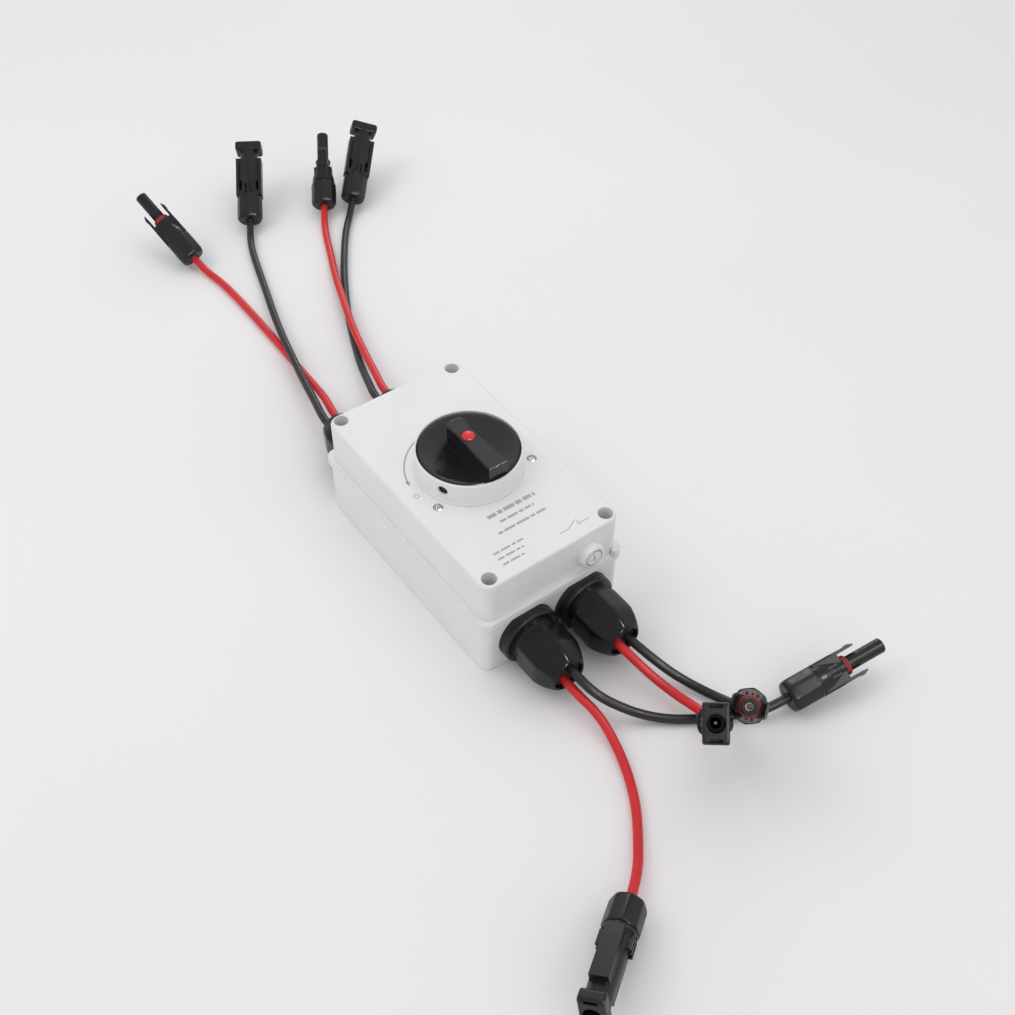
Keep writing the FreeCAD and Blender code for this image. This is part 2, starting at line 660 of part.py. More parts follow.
def inner_leads():
    leads = []
    for (end, side), holes in HOLES.items():
        for colour, (x, _) in holes.items():
            place = "outer" if x * SIDES[side] > 0 else "inner"
            leads.append(inner_lead(end, side, colour, LEADS[side, place]))
    return leads


# ---- cables ---------------------------------------------------------------

# Each cable's corner points, from its insert to the rear of its connector.
CABLES = {
    "rear_left_red": [
        (-15.6, 117, 19.2), (-15.2, 131, 18.6), (-9.5, 151.8, 14.5), (-5.9, 175.3, 8.0),
        (-2.6, 208.2, 3.4), (-0.9, 246.1, 2.9), (-0.1, 288, 2.9), (-0.7, 315.1, 2.9),
        (-3.1, 331.2, 2.9), (-4.8, 339.3, 4.9), (-6.4, 346.6, 8.9)],
    "rear_left_black": [
        (-23.4, 117, 19.2), (-22.9, 131, 18.9), (-17.6, 150.6, 16.2), (-11.5, 176.5, 12.6),
        (-5.3, 200.5, 10.2), (0.5, 224.4, 9.6), (9.6, 255.2, 6.4), (22.8, 294.5, 2.9),
        (33.6, 329.5, 2.9), (41.0, 348.2, 2.9), (46.1, 357.3, 4.9), (50.1, 363.7, 8.9)],
    "rear_right_red": [
        (23.4, 117, 19.2), (23.6, 131, 18.8), (29.5, 150.2, 16.0), (37.3, 178.1, 12.4),
        (45.7, 206.2, 9.9), (55.0, 232.1, 9.2), (69.0, 269.3, 6.2), (82.3, 298.5, 2.9),
        (90.1, 317, 2.9), (97.8, 333.2, 2.9), (102.9, 341.6, 4.9), (106.9, 347.9, 8.9)],
    "rear_right_black": [
        (15.6, 117, 19.2), (16.0, 131, 18.2), (22.1, 147.7, 13.2), (30.0, 171, 7.6),
        (41.8, 199.5, 3.6), (56.3, 232.5, 2.9), (77.1, 271, 2.9), (95.0, 299.5, 2.9),
        (107.2, 317.2, 2.9), (117.8, 329.9, 2.9), (124.0, 336.6, 4.9), (129.2, 342.1, 8.9)],
    "front_left_red": [
        (-21.5, -117, 15.8), (-21.2, -128, 14.6), (-17.8, -143, 10), (-18.7, -157.2, 5.2),
        (-23.8, -175.1, 2.9), (-33.1, -193.8, 2.9), (-44.1, -208.6, 3.2), (-59.4, -226.1, 5.6),
        (-73.8, -235.8, 9.9)],
    "front_left_black": [
        (-17.5, -117, 22.6), (-17.4, -127, 21.9), (-14.6, -137, 18.2), (-8.4, -144.9, 12.6),
        (2.3, -155.6, 6.0), (14.4, -165.9, 2.9), (28.3, -175.6, 2.9), (44.6, -184.6, 3.2),
        (55.1, -191.6, 5.9), (63.2, -194.9, 8.1), (71.9, -196.3, 9.7)],
    "front_right_red": [
        (15.5, -117, 20), (15.9, -125.2, 19.3), (17.3, -132.8, 17.2), (19.3, -140.1, 14.2),
        (21.6, -147.2, 11.3), (24.0, -154.4, 9.1), (26.1, -161.8, 8.1), (27.6, -169.3, 8.7),
        (27.9, -176.7, 11.1), (26.5, -183.2, 15.2), (23.7, -188.1, 20.7), (20.1, -190.9, 27.2)],
    "front_right_black": [
        (23.5, -117, 18.4), (24.3, -125.2, 17.8), (26.3, -132.9, 15.8), (29.2, -140.1, 12.6),
        (32.7, -146.8, 9.0), (36.5, -153.6, 6.2), (40.2, -160.9, 4.6), (43.4, -168.6, 4.4),
        (45.6, -176.3, 6.1), (46.5, -183.3, 9.9), (46.2, -188.9, 15.6), (44.4, -192.7, 22.3),
        (40.6, -195.3, 28.7)],
}


# ---- connectors -----------------------------------------------------------

# Kind of connector and its roll about the cable, in degrees, on each cable.
CONNECTORS = {
    "rear_left_red": ("probe", -28), "rear_left_black": ("shell", 0),
    "rear_right_red": ("probe", 90), "rear_right_black": ("shell", 20),
    "front_left_red": ("shell", 105), "front_left_black": ("probe", 24),
    "front_right_red": ("shell", 102), "front_right_black": ("probe", 0),
}


def connector_place(cable, roll):
    """Placement whose +X runs on from the cable and whose Y lies flat before the roll."""
    before, end = [FreeCAD.Vector(*point) for point in CABLES[cable][-2:]]
    ahead = (end - before).normalize()
    flat = FreeCAD.Vector(0, 0, 1).cross(ahead).normalize()
    turn = FreeCAD.Rotation(ahead, flat, ahead.cross(flat), "XYZ")
    return FreeCAD.Placement(end, turn.multiply(FreeCAD.Rotation(FreeCAD.Vector(1, 0, 0), roll)))


def ahead(item):
    """Lay a piece turned about Z along +X."""
    item.Placement = FreeCAD.Placement(FreeCAD.Vector(), TURNS["x"])
    return item


def bar(name, start, end, width, height, across=0, up=0):
    """A box along +X between two places, centred on a line."""
    item = doc.addObject("Part::Box", name)
    bind(item, Length=f"{end} - {start}", Width=width, Height=height)
    settle(item, (start, f"{across} - ({width}) / 2", f"{up} - ({height}) / 2"))
    return item


def connector_nut(name):
    outside = ahead(turned(f"{name}_outside", [
        (0, 0), (7.4, 0), (8.8, 0.6), (9.5, 1.6), ("plug_nut_radius", 3), ("plug_nut_radius", 17),
        (9.2, "plug_nut_length"), (0, "plug_nut_length")]))
    sides = prism(f"{name}_sides", 8, "2 * plug_nut_radius - 0.8", 20, (0, 0, 0), 22.5)
    turn = TURNS["x"].multiply(FreeCAD.Rotation(22.5, 0, 0))
    sides.Placement = FreeCAD.Placement(FreeCAD.Vector(), turn)
    return cut(name, common(f"{name}_faceted", outside, sides),
               rod(f"{name}_cable_hole", "contact_wide + 0.1", 10, (-1, 0, 0), "x"),
               rod(f"{name}_space", 7.6, 20, (3, 0, 0), "x"))


def shell_body(name):
    """Connector with a wide T-shaped nose that takes the probe's latch fingers."""
    barrel = ahead(turned(f"{name}_barrel", [
        (0, 5), ("plug_thread", 5), ("plug_thread", 18.3), (8.9, 18.3), (8.9, 20), (7.4, 21),
        (7, 34), (6.6, 60), (0, 60)]))
    middle = slab(f"{name}_middle", 19.5, 15, 10, (41.75, 0, -5))
    rounded(middle, 2, lambda edge: edge.BoundBox.XLength > 15)
    wings = [bar(f"{name}_wing_{y}", 20.5, 51.5, 2.4, 9.6, y * 8.5) for y in (-1, 1)]
    webs = [bar(f"{name}_web_{y}_{start}", start, start + 3.5, 4, 9.6, y * 7.5)
            for y in (-1, 1) for start in (20.5, 48)]
    head = slab(f"{name}_head", 7.4, 20, 13, (62.1, 0, -6.5), 2)
    rounded(head, 1.2, lambda edge: edge.BoundBox.YLength > 10 and edge.BoundBox.XLength < 1e-3)
    ridges = [bar(f"{name}_ridge_{i}", 20.5, 29.5, 1.4, 17.2, 3 * i) for i in (-1, 0, 1)]
    solid = fuse(f"{name}_solid", barrel, middle, head, *wings, *webs, *ridges)
    tools = [rod(f"{name}_mouth", 4.6, 30, (44, 0, 0), "x"),
             rod(f"{name}_way", "contact_wide + 0.1", 50, (0, 0, 0), "x")]
    tools += [bar(f"{name}_window_{y}", 60.5, 67, 1.6, 6.4, y * 8.2) for y in (-1, 1)]
    return cut(name, solid, *tools)


def probe_body(name):
    """Connector with a round probe between two latch fingers."""
    barrel = ahead(turned(f"{name}_barrel", [
        (0, 5), ("plug_thread", 5), ("plug_thread", 18), (8.6, 18), (8.6, 20), (8.3, 23), (5.4, 34),
        (5.4, 36.1), (4.3, 36.1), (4.3, 61.4), (3.8, 62), (0, 62)]))
    half = [(19.5, 9.2), (31, 9.2), (35.5, 6.8)]
    body = padded(f"{name}_block", half + [(x, -y) for x, y in reversed(half)], 9.2, (0, 0, -4.6))
    rounded(body, 1.2, lambda edge: edge.BoundBox.ZLength < 1e-3 and edge.BoundBox.XLength > 5)
    fingers = []
    for y in (-1, 1):
        corners = [(29, 7), (43.5, 7.2), (46.6, 7.4), (47, 8.1), (43.5, 9.4), (43, 8.9), (29, 9.1)]
        fingers.append(padded(f"{name}_finger_{y}", [(x, y * side) for x, side in corners], 7,
                              (0, 0, -3.5)))
    ridges = [bar(f"{name}_ridge_{i}", 20.5, 32, 1.2, 13.8, 2.8 * i) for i in (-1, 0, 1)]
    solid = fuse(f"{name}_solid", barrel, body, *fingers, *ridges)
    grooves = [bar(f"{name}_groove_{y}_{z}", 21.5, 31, 1.2, 1.2, y * 9.2, z * 1.6)
               for y in (-1, 1) for z in (-1, 1)]
    return cut(name, solid, rod(f"{name}_way", "contact_wide + 0.1", 30, (0, 0, 0), "x"),
               rod(f"{name}_bore", 2.05, 50, (25, 0, 0), "x"), *grooves)


def contact_pin(name):
    return turned(name, [(0, 0), ("contact_wide", 0), ("contact_wide", 34), (1.5, 35.5), (1.5, 47.2),
                         (0.8, 48), (0, 48)])


def contact_tube(name):
    return turned(name, [(0, 0), ("contact_wide", 0), ("contact_wide", 29.8), (2, 29.8), (2, 60.5),
                         (1.55, 60.5), (1.55, 46), (0, 46)])


def probe_seal(name):
    return turned(name, [(4.3, 36.2), (5.4, 36.2), (5.8, 36.9), (5.3, 37.5), (5.8, 38.1),
                         (5.4, 38.9), (4.3, 38.9)])


# ---- all nodes ------------------------------------------------------------

node("enclosure_base", enclosure_base())
node("enclosure_lid", enclosure_lid())
node("lid_gasket", ring_slot("gasket", 44.1, 77.6, 5.2, 1.6, 1.7, "rim_top - 1.8"))
node("lid_screws", group("lid_screw_set", *[lid_screw(f"lid_screw_{i}", x, y)
                                            for i, (x, y) in enumerate(CORNERS)]))
node("vent_plug", vent_plug())
node("knob_collar", knob_collar())
node("guide_screws", group("guide_screw_set", guide_screw("guide_screw_a", -1),
                           guide_screw("guide_screw_b", 1)))
node("spindle_guide", spindle_guide())
node("knob", knob())
node("grip_pad", grip_pad())
node("knob_marker", knob_marker())
node("knob_screw", knob_screw())
node("drive_shaft", drive_shaft())
node("shaft_seal", shaft_seal())
node("drive_cam", drive_cam())
node("latch_spring", latch_spring())
node("mechanism_housing", mechanism_housing())
node("mechanism_cover", mechanism_cover())
poles = list(zip(POLES, POLE_ACROSS))
for pole, across in poles:
    node(f"pole_deck_{pole}", pole_deck(pole, across))
node("contact_spindle", contact_spindle())
node("contact_blades", group("blade_set", *[contact_blade(pole) for pole in POLES]))
node("fixed_contacts", group("contact_set", *[fixed_contact(pole, across, end, y)
                                              for pole, across in poles for end, y in ENDS.items()]))
node("terminal_screws", group("terminal_set", *[terminal_screw(pole, across, end, y)
                                                for pole, across in poles for end, y in ENDS.items()]))
node("tie_screws", group("tie_set", *[tie_screw(i, x, y) for i, (x, y) in enumerate(CORNERS)]))
node("rail_clip", rail_clip())
node("din_rail", din_rail())
node("rail_screws", group("rail_screw_set", rail_screw(-1), rail_screw(1)))
node("inner_leads", group("lead_set", *inner_leads()))
node("gland_washers", group("washer_set", *at_entries("washer", gland_washer)))
node("gland_bodies", group("body_set", *at_entries("gland", gland_body)))
node("gland_locknuts", group("locknut_set", *at_entries("locknut", gland_locknut)))
node("gland_inserts", group("insert_set", *[gland_insert(end, side) for end, side in ENTRIES]))
for end, side in ENTRIES:
    node(f"gland_nut_{end}_{side}", at_entry(gland_nut(f"cap_nut_{end}_{side}"), end, side))

nuts, pins, tubes, seals = [], [], [], []
for cable, (kind, roll) in CONNECTORS.items():
    place = connector_place(cable, roll)
    make_body = shell_body if kind == "shell" else probe_body
    body = make_body(f"{kind}_{cable}")
    body.Placement = place
    node(f"connector_{cable}", body)
    node(f"cable_{cable}", tube(f"tube_{cable}", CABLES[cable], number("cable_width")))
    nut = connector_nut(f"plug_nut_{cable}")
    nut.Placement = place
    nuts.append(nut)
    forward = place.multiply(FreeCAD.Placement(FreeCAD.Vector(), TURNS["x"]))
    inside = [contact_pin(f"pin_{cable}")] if kind == "shell" else \
        [contact_tube(f"socket_{cable}"), probe_seal(f"probe_seal_{cable}")]
    for piece, pile in zip(inside, [pins] if kind == "shell" else [tubes, seals]):
        piece.Placement = forward
        pile.append(piece)
node("connector_nuts", group("plug_nut_set", *nuts))
node("contact_pins", group("pin_set", *pins))
node("contact_sockets", group("socket_set", *tubes))
node("probe_seals", group("probe_seal_set", *seals))

doc.recompute()
for item in doc.Objects:
    if "Invalid" in item.State or "Error" in item.State:
        raise RuntimeError(f"{item.Name} did not build: {item.State}")
for item in nodes:
    if item.Shape.isNull() or not item.Shape.isValid():
        raise RuntimeError(f"{item.Label} is not a valid shape")
    item.Shape.exportStep(f"parts/{item.Label}.step")
print(len(nodes), "nodes written")
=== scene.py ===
import json
import math

import bmesh
import bpy
from mathutils import Matrix, Vector


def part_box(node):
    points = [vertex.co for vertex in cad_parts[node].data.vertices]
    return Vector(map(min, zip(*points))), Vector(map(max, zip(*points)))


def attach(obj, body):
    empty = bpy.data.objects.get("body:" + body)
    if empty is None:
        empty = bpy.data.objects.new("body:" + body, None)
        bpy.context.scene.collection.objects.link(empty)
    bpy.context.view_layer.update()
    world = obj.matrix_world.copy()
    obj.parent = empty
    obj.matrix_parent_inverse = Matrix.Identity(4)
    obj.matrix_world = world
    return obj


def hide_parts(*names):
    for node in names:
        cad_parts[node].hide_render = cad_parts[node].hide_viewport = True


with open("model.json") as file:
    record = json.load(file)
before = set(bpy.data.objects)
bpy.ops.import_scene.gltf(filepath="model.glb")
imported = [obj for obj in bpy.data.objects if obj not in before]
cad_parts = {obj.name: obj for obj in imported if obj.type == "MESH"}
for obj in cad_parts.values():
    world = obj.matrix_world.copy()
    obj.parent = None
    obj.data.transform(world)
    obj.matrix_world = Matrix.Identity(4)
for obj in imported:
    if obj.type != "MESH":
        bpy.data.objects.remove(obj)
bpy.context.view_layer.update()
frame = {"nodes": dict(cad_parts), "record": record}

MM = 0.001
nodes = frame["nodes"]


# ---- camera and light -----------------------------------------------------

# The photograph's viewpoint, solved from the enclosure's corners and circles:
# its place in metres, its turns in degrees, its lens and sensor in millimetres.
CAMERA_PLACE = (-0.28935, -0.41816, 0.59165)
AZIMUTH, PITCH, ROLL = 37.19, 47.56, 0.91
LENS, SENSOR = 45.42, 36


def make_camera():
    camera = bpy.data.objects.new("camera", bpy.data.cameras.new("camera"))
    bpy.context.scene.collection.objects.link(camera)
    camera.matrix_world = (Matrix.Translation(CAMERA_PLACE)
                           @ Matrix.Rotation(math.radians(-AZIMUTH), 4, "Z")
                           @ Matrix.Rotation(math.radians(90 - PITCH), 4, "X")
                           @ Matrix.Rotation(math.radians(ROLL), 4, "Z"))
    camera.data.sensor_width = SENSOR
    camera.data.lens = LENS
    camera.data.clip_start = 0.01
    bpy.context.scene.camera = camera


SKY_COLOUR, SKY_STRENGTH = (0.98, 0.98, 1, 1), 0.74
# Every lamp points here.
LIT_POINT = (0.0, 0.0, 0.04)

# Each lamp's place, width and height in metres, and its power in watts.
SOFT_BOXES = {
    "key": ((-0.75, 0.55, 1.25), (0.9, 0.7), 3.8),
    "top": ((0.35, 0.25, 1.5), (1.3, 1.1), 3.6),
    "front": ((0.1, -1.3, 0.55), (1.2, 0.6), 0.7),
}
GLINTS = {
    "glint_left": ((-0.21, -1.0, 0.95), (0.08, 0.08), 7),
    "glint_right": ((0.51, -0.68, 1.04), (0.08, 0.08), 7),
    "glint_back": ((0.69, 0.98, 0.55), (0.25, 0.25), 2),
}


def area_light(name, place, size, power, glint):
    """A soft box that lights the scene unseen, or a glint seen only in glossy surfaces."""
    lamp = bpy.data.objects.new(name, bpy.data.lights.new(name, "AREA"))
    bpy.context.scene.collection.objects.link(lamp)
    lamp.visible_glossy = glint
    lamp.visible_diffuse = not glint
    lamp.data.shape = "RECTANGLE"
    lamp.data.size, lamp.data.size_y = size
    lamp.data.energy = power
    lamp.location = place
    aim = Vector(LIT_POINT) - Vector(place)
    lamp.rotation_euler = aim.to_track_quat("-Z", "Y").to_euler()


def make_light():
    world = bpy.data.worlds.new("studio")
    bpy.context.scene.world = world
    world.use_nodes = True
    sky = world.node_tree.nodes["Background"]
    sky.inputs["Color"].default_value = SKY_COLOUR
    sky.inputs["Strength"].default_value = SKY_STRENGTH
    for name, lamp in SOFT_BOXES.items():
        area_light(name, *lamp, glint=False)
    for name, lamp in GLINTS.items():
        area_light(name, *lamp, glint=True)
    bpy.context.scene.view_settings.view_transform = "Standard"


make_camera()
make_light()


# ---- materials ------------------------------------------------------------

class Material:
    """A node material built around one Principled shader, in object space."""

    BUMP_STRENGTH = 0.6
    BEVEL_SAMPLES = 4

    def __init__(self, name, colour, roughness, **sockets):
        self.material = bpy.data.materials.new(name)
        self.material.use_nodes = True
        self.tree = self.material.node_tree
        self.shader = self.tree.nodes["Principled BSDF"]
        self.shader.inputs["Base Color"].default_value = (*colour, 1)
        self.shader.inputs["Roughness"].default_value = roughness
        for socket, value in sockets.items():
            self.shader.inputs[socket.replace("_", " ")].default_value = value
        self.place = self.tree.nodes.new("ShaderNodeTexCoord").outputs["Object"]

    def node(self, kind, inputs=(), **settings):
        made = self.tree.nodes.new("ShaderNode" + kind)
        for name, value in settings.items():
            setattr(made, name, value)
        for socket, value in dict(inputs).items():
            if isinstance(value, bpy.types.NodeSocket):
                self.tree.links.new(value, made.inputs[socket])
            else:
                made.inputs[socket].default_value = value
        return made

    def noise(self, scale, detail=3, stretch=None):
        place = self.place
        if stretch:
            place = self.node("Mapping", {"Vector": place, "Scale": stretch}).outputs[0]
        inputs = {"Vector": place, "Scale": scale, "Detail": detail}
        return self.node("TexNoise", inputs).outputs["Fac"]

    def ramp(self, source, low, high, start=0.3, end=0.7):
        """A colour or grey between low and high as source goes from start to end."""
        ramp = self.node("ValToRGB", {"Fac": source})
        for element, place, value in zip(ramp.color_ramp.elements, (start, end), (low, high)):
            element.position = place
            rgb = value if isinstance(value, tuple) else (value,) * 3
            element.color = (*rgb, 1)
        return ramp.outputs["Color"]

    def feed(self, socket, source):
        self.tree.links.new(source, self.shader.inputs[socket])

    def bump(self, *layers, edge=0.0):
        """Bump from (height, distance in metres) layers over softly rounded edges."""
        normal = None
        if edge:
            normal = self.node("Bevel", {"Radius": edge}, samples=self.BEVEL_SAMPLES).outputs[0]
        for height, distance in layers:
            inputs = {"Height": height, "Distance": distance, "Strength": self.BUMP_STRENGTH}
            if normal:
                inputs["Normal"] = normal
            normal = self.node("Bump", inputs).outputs[0]
        self.feed("Normal", normal)


def moulded(name, light, dark, roughness, grain=0.00002, edge=0.0004, **sockets):
    """Injection-moulded plastic: faint flow tone, spark-eroded grain, worn sheen."""
    made = Material(name, light, sum(roughness) / 2, **sockets)
    made.feed("Base Color", made.ramp(made.noise(38, 5), dark, light, 0.25, 0.75))
    made.feed("Roughness", made.ramp(made.noise(210, 6), *roughness))
    made.bump((made.noise(2600, 2), grain), (made.noise(60, 2), grain * 3), edge=edge)
    return made.material


def cable_jacket(name, light, dark):
    """Extruded jacket: fine grain, faint waves and a soft, uneven sheen."""
    made = Material(name, light, 0.4, Specular_IOR_Level=0.45)
    made.feed("Base Color", made.ramp(made.noise(55, 5), dark, light, 0.2, 0.8))
    made.feed("Roughness", made.ramp(made.noise(420, 5), 0.34, 0.5))
    made.bump((made.noise(3200, 2), 0.00002), (made.noise(240, 3), 0.00005))
    return made.material


def metal(name, light, dark, roughness, stretch):
    """Plated or drawn metal with fine lines, where stretch holds the noise back."""
    made = Material(name, light, sum(roughness) / 2, Metallic=1.0)
    lines = made.noise(600, 4, stretch)
    made.feed("Base Color", made.ramp(made.noise(90, 5), dark, light))
    made.feed("Roughness", made.ramp(lines, *roughness))
    made.bump((lines, 0.00001), edge=0.0002)
    return made.material


def rubber(name, light, dark):
    """Matt rubber with a fine open grain."""
    made = Material(name, light, 0.7)
    made.feed("Base Color", made.ramp(made.noise(160, 5), dark, light))
    made.feed("Roughness", made.ramp(made.noise(300, 4), 0.6, 0.82))
    made.bump((made.noise(2200, 2), 0.00003), edge=0.0003)
    return made.material


# Each has a light and a dark colour, and most have a lowest and a highest roughness.
WHITE = moulded("white_housing", (0.80, 0.80, 0.785), (0.765, 0.765, 0.755), (0.42, 0.56),
                grain=0.00003, edge=0.0008)
SWITCH = moulded("switch_plastic", (0.52, 0.49, 0.43), (0.46, 0.43, 0.38), (0.5, 0.62))
BLACK = moulded("black_plastic", (0.010, 0.010, 0.011), (0.006, 0.006, 0.007), (0.26, 0.4),
                edge=0.0005, Specular_IOR_Level=0.36)
GLAND = moulded("gland_plastic", (0.009, 0.009, 0.010), (0.006, 0.006, 0.007), (0.14, 0.22),
                grain=0.00001, edge=0.0005, Specular_IOR_Level=0.26)
KNOB = moulded("knob_plastic", (0.012, 0.012, 0.013), (0.008, 0.008, 0.009), (0.16, 0.28),
               grain=0.00001, edge=0.0005)
GRIP = moulded("grip_grey", (0.030, 0.030, 0.030), (0.024, 0.024, 0.024), (0.5, 0.62),
               Specular_IOR_Level=0.3)
MARKER = moulded("marker_red", (0.72, 0.018, 0.02), (0.62, 0.014, 0.016), (0.22, 0.34))
RUBBER = rubber("black_rubber", (0.009, 0.009, 0.009), (0.006, 0.006, 0.006))
SEAL = rubber("red_rubber", (0.34, 0.025, 0.024), (0.26, 0.018, 0.018))
RED = cable_jacket("red_cable", (0.66, 0.012, 0.016), (0.56, 0.009, 0.012))
DARK = cable_jacket("black_cable", (0.014, 0.014, 0.014), (0.009, 0.009, 0.009))
STEEL = metal("steel", (0.62, 0.61, 0.58), (0.5, 0.49, 0.46), (0.28, 0.42), (1, 1, 0.05))
# The brass is painted darker than bare brass all over, as painted shade for the deep bores the
# sockets sit in.
BORE_SHADED_BRASS = metal("contact_brass", (0.42, 0.38, 0.3), (0.34, 0.3, 0.24), (0.3, 0.45), (1, 0.05, 1))
INK = moulded("print_ink", (0.44, 0.44, 0.45), (0.38, 0.38, 0.39), (0.5, 0.6), edge=0)

BY_SLOT = {
    "white_housing": WHITE, "switch_plastic": SWITCH, "black_plastic": BLACK, "grip_grey": GRIP,
    "marker_red": MARKER, "black_rubber": RUBBER, "red_rubber": SEAL, "red_cable": RED,
    "black_cable": DARK, "steel": STEEL, "contact_brass": BORE_SHADED_BRASS,
}
SLOT_OF = {part["node"]: part["material_slot"] for part in frame["record"]["subparts"]}


def dress_nodes():
    """Each CAD node gets its slot's material, and the knob a glossier one."""
    for name, item in nodes.items():
        item.data.materials.clear()
        item.data.materials.append(KNOB if name == "knob" else BY_SLOT[SLOT_OF[name]])


dress_nodes()


# ---- new pieces -----------------------------------------------------------

def piece(name, mesh, body, material, smooth=True):
    """A new object from a mesh or curve, on its body, with its material."""
    made = bpy.data.objects.new(name, mesh)
    bpy.context.scene.collection.objects.link(made)
    mesh.materials.append(material)
    if smooth and isinstance(mesh, bpy.types.Mesh):
        mesh.polygons.foreach_set("use_smooth", [True] * len(mesh.polygons))
    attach(made, body)
    return made


# ---- cables ---------------------------------------------------------------

CABLE_WIDTH = 5.3 * MM
# How finely a lead is divided around, and along between two control points.
AROUND_CABLE, ALONG_RUN = 6, 16

# Each cable's length in metres, and its control points in millimetres.
CABLES = {
    "rear_left_red": (0.2339, [
        (-15.6, 117, 19.2), (-15.2, 131, 18.6), (-9.5, 151.8, 14.5), (-5.9, 175.3, 8.0),
        (-2.6, 208.2, 3.4), (-0.9, 246.1, 2.9), (-0.1, 288, 2.9), (-0.7, 315.1, 2.9),
        (-3.1, 331.2, 2.9), (-4.8, 339.3, 4.9), (-6.4, 346.6, 8.9)]),
    "rear_left_black": (0.2604, [
        (-23.4, 117, 19.2), (-22.9, 131, 18.9), (-17.6, 150.6, 16.2), (-11.5, 176.5, 12.6),
        (-5.3, 200.5, 10.2), (0.5, 224.4, 9.6), (9.6, 255.2, 6.4), (22.8, 294.5, 2.9),
        (33.6, 329.5, 2.9), (41.0, 348.2, 2.9), (46.1, 357.3, 4.9), (50.1, 363.7, 8.9)]),
    "rear_right_red": (0.2488, [
        (23.4, 117, 19.2), (23.6, 131, 18.8), (29.5, 150.2, 16.0), (37.3, 178.1, 12.4),
        (45.7, 206.2, 9.9), (55.0, 232.1, 9.2), (69.0, 269.3, 6.2), (82.3, 298.5, 2.9),
        (90.1, 317, 2.9), (97.8, 333.2, 2.9), (102.9, 341.6, 4.9), (106.9, 347.9, 8.9)]),
    "rear_right_black": (0.2579, [
        (15.6, 117, 19.2), (16.0, 131, 18.2), (22.1, 147.7, 13.2), (30.0, 171, 7.6),
        (41.8, 199.5, 3.6), (56.3, 232.5, 2.9), (77.1, 271, 2.9), (95.0, 299.5, 2.9),
        (107.2, 317.2, 2.9), (117.8, 329.9, 2.9), (124.0, 336.6, 4.9), (129.2, 342.1, 8.9)]),
    "front_left_red": (0.1410, [
        (-21.5, -117, 15.8), (-21.2, -128, 14.6), (-17.8, -143, 10), (-18.7, -157.2, 5.2),
        (-23.8, -175.1, 2.9), (-33.1, -193.8, 2.9), (-44.1, -208.6, 3.2), (-59.4, -226.1, 5.6),
        (-73.8, -235.8, 9.9)]),
    "front_left_black": (0.1312, [
        (-17.5, -117, 22.6), (-17.4, -127, 21.9), (-14.6, -137, 18.2), (-8.4, -144.9, 12.6),
        (2.3, -155.6, 6.0), (14.4, -165.9, 2.9), (28.3, -175.6, 2.9), (44.6, -184.6, 3.2),
        (55.1, -191.6, 5.9), (63.2, -194.9, 8.1), (71.9, -196.3, 9.7)]),
    "front_right_red": (0.0868, [
        (15.5, -117, 20), (15.9, -125.2, 19.3), (17.3, -132.8, 17.2), (19.3, -140.1, 14.2),
        (21.6, -147.2, 11.3), (24.0, -154.4, 9.1), (26.1, -161.8, 8.1), (27.6, -169.3, 8.7),
        (27.9, -176.7, 11.1), (26.5, -183.2, 15.2), (23.7, -188.1, 20.7), (20.1, -190.9, 27.2)]),
    "front_right_black": (0.0978, [
        (23.5, -117, 18.4), (24.3, -125.2, 17.8), (26.3, -132.9, 15.8), (29.2, -140.1, 12.6),
        (32.7, -146.8, 9.0), (36.5, -153.6, 6.2), (40.2, -160.9, 4.6), (43.4, -168.6, 4.4),
        (45.6, -176.3, 6.1), (46.5, -183.3, 9.9), (46.2, -188.9, 15.6), (44.4, -192.7, 22.3),
        (40.6, -195.3, 28.7)]),
}


# ---- turned pieces with flats ---------------------------------------------

# How sharply a ring's round part meets its flats, and how many points it has.
SHARPNESS = 36
SEGMENTS = 96
# A half width across the flats that lies outside every ring, so the ring is round.
ROUND = 30


def softest(first, second):
    """The smaller of two lengths, with the change between them rounded."""
    return (first ** -SHARPNESS + second ** -SHARPNESS) ** (-1 / SHARPNESS)


def turned_mesh(name, profile, sides):
    """Rings of (radius, place along Z, half width across the flats), in millimetres."""
    shape = bmesh.new()
    rings = []
    half = math.pi / sides
    for radius, place, flat in profile:
        ring = []
        for step in range(SEGMENTS):
            angle = 2 * math.pi * step / SEGMENTS
            across = flat / math.cos((angle % (2 * half)) - half)
            reach = softest(radius, across)
            ring.append(shape.verts.new((MM * reach * math.cos(angle),
                                         MM * reach * math.sin(angle), MM * place)))
        rings.append(ring)
    for lower, upper in zip(rings, rings[1:]):
        for step in range(SEGMENTS):
            following = (step + 1) % SEGMENTS
            shape.faces.new((lower[step], lower[following], upper[following], upper[step]))
    bmesh.ops.recalc_face_normals(shape, faces=shape.faces)
    mesh = bpy.data.meshes.new(name)
    shape.to_mesh(mesh)
    shape.free()
    return mesh


def soften(item):
    subdivide = item.modifiers.new("subdivide", "SUBSURF")
    subdivide.levels = subdivide.render_levels = 1


# ---- gland nuts -----------------------------------------------------------

